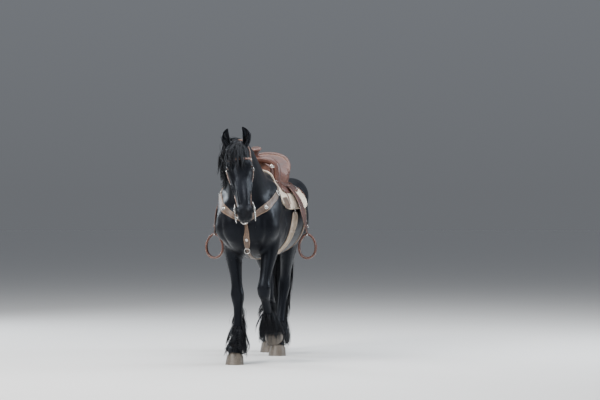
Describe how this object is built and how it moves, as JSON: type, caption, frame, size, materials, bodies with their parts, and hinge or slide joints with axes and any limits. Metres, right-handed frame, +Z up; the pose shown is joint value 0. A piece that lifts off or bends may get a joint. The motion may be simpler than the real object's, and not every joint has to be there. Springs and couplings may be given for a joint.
{
  "type": "friesian horse",
  "caption": "Life-size still model of a black draught-type riding horse at a walk, in western saddle, breast collar and bridle.",
  "frame": {"origin": "on the floor under the middle of the model's box, with the soles of the three planted hooves at z = 0", "axes": "+Z up, -Y the way the horse walks, +X the horse's own left"},
  "size_m": [0.9648, 2.4957, 1.9587],
  "materials": {
    "coat": "short glossy black coat",
    "hair": "long wavy black hair",
    "hoof": "dusty grey-brown horn",
    "eye": "wet dark brown",
    "leather": "dark red-brown tooled saddle leather",
    "tan_leather": "tan tooled leather",
    "strap": "dark bridle leather",
    "wool": "cream and tan wool felt",
    "webbing": "tan mohair cord webbing",
    "silver": "polished silver-coloured fittings"
  },
  "bodies": {
    "root": {"bit_left": "silver", "bit_right": "silver", "browband": "strap", "cheek_strap_left": "strap", "cheek_strap_right": "strap", "cinch_front": "webbing", "cinch_rear": "webbing", "collar_drop": "tan_leather", "collar_left": "tan_leather", "collar_right": "tan_leather", "collar_ring": "silver", "crown_strap": "strap", "curb_strap": "strap", "ear_left": "coat", "ear_right": "coat", "eye_left": "eye", "eye_right": "eye", "fender_left": "leather", "fender_right": "leather", "head": "coat", "hoof_left_fore": "hoof", "hoof_left_hind": "hoof", "hoof_right_fore": "hoof", "hoof_right_hind": "hoof", "lower_leg_left_fore": "coat", "lower_leg_left_hind": "coat", "lower_leg_right_fore": "coat", "lower_leg_right_hind": "coat", "neck": "coat", "saddle_cantle": "leather", "saddle_fork": "leather", "saddle_horn": "leather", "saddle_pad": "wool", "saddle_seat": "leather", "saddle_skirt": "leather", "stirrup_left": "leather", "stirrup_right": "leather", "tail": "hair", "torso": "coat", "upper_leg_left_fore": "coat", "upper_leg_left_hind": "coat", "upper_leg_right_fore": "coat", "upper_leg_right_hind": "coat"}
  },
  "joints": []
}
